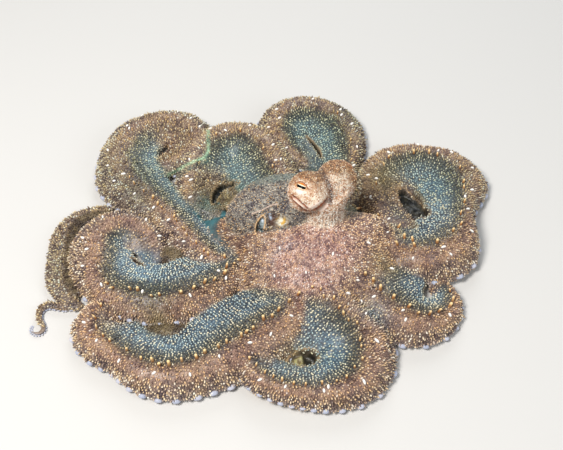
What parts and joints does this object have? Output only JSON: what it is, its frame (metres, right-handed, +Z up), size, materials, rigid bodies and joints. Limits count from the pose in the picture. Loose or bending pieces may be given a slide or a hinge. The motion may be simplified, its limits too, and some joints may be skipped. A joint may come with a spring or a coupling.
{
  "type": "octopus",
  "caption": "Life-size long-armed octopus resting on the floor, mottled brown, arms rolled in flat loops round the raised head and mantle.",
  "frame": {"origin": "middle of the floor area that the animal covers, at floor level", "axes": "+Z up; +X to the right and +Y to the back as seen from the front, where the animal faces about 48 degrees from +X towards -Y"},
  "size_m": [0.2282, 0.2084, 0.0506],
  "materials": {
    "skin": "matte, moist skin set with small papillae; brown and pinkish with blue-grey hollows and cream dots",
    "eye": "clear wet eye, gold iris with a dark slit pupil"
  },
  "bodies": {
    "root": {"arm_l1_1": "skin", "arm_l1_2": "skin", "arm_l1_3": "skin", "arm_l2_1": "skin", "arm_l2_2": "skin", "arm_l2_3": "skin", "arm_l2_4": "skin", "arm_l2_5": "skin", "arm_l3_1": "skin", "arm_l3_2": "skin", "arm_l3_3": "skin", "arm_l3_4": "skin", "arm_l4_1": "skin", "arm_l4_2": "skin", "arm_l4_3": "skin", "arm_l4_4": "skin", "arm_l4_5": "skin", "arm_r1_1": "skin", "arm_r1_2": "skin", "arm_r1_3": "skin", "arm_r1_4": "skin", "arm_r1_5": "skin", "arm_r2_1": "skin", "arm_r2_2": "skin", "arm_r2_3": "skin", "arm_r2_4": "skin", "arm_r2_5": "skin", "arm_r3_1": "skin", "arm_r3_2": "skin", "arm_r3_3": "skin", "arm_r3_4": "skin", "arm_r4_1": "skin", "arm_r4_10": "skin", "arm_r4_2": "skin", "arm_r4_3": "skin", "arm_r4_4": "skin", "arm_r4_5": "skin", "arm_r4_6": "skin", "arm_r4_7": "skin", "arm_r4_8": "skin", "arm_r4_9": "skin", "eye_left": "eye", "eye_right": "eye", "head": "skin", "mantle": "skin", "siphon": "skin", "web": "skin"}
  },
  "joints": []
}
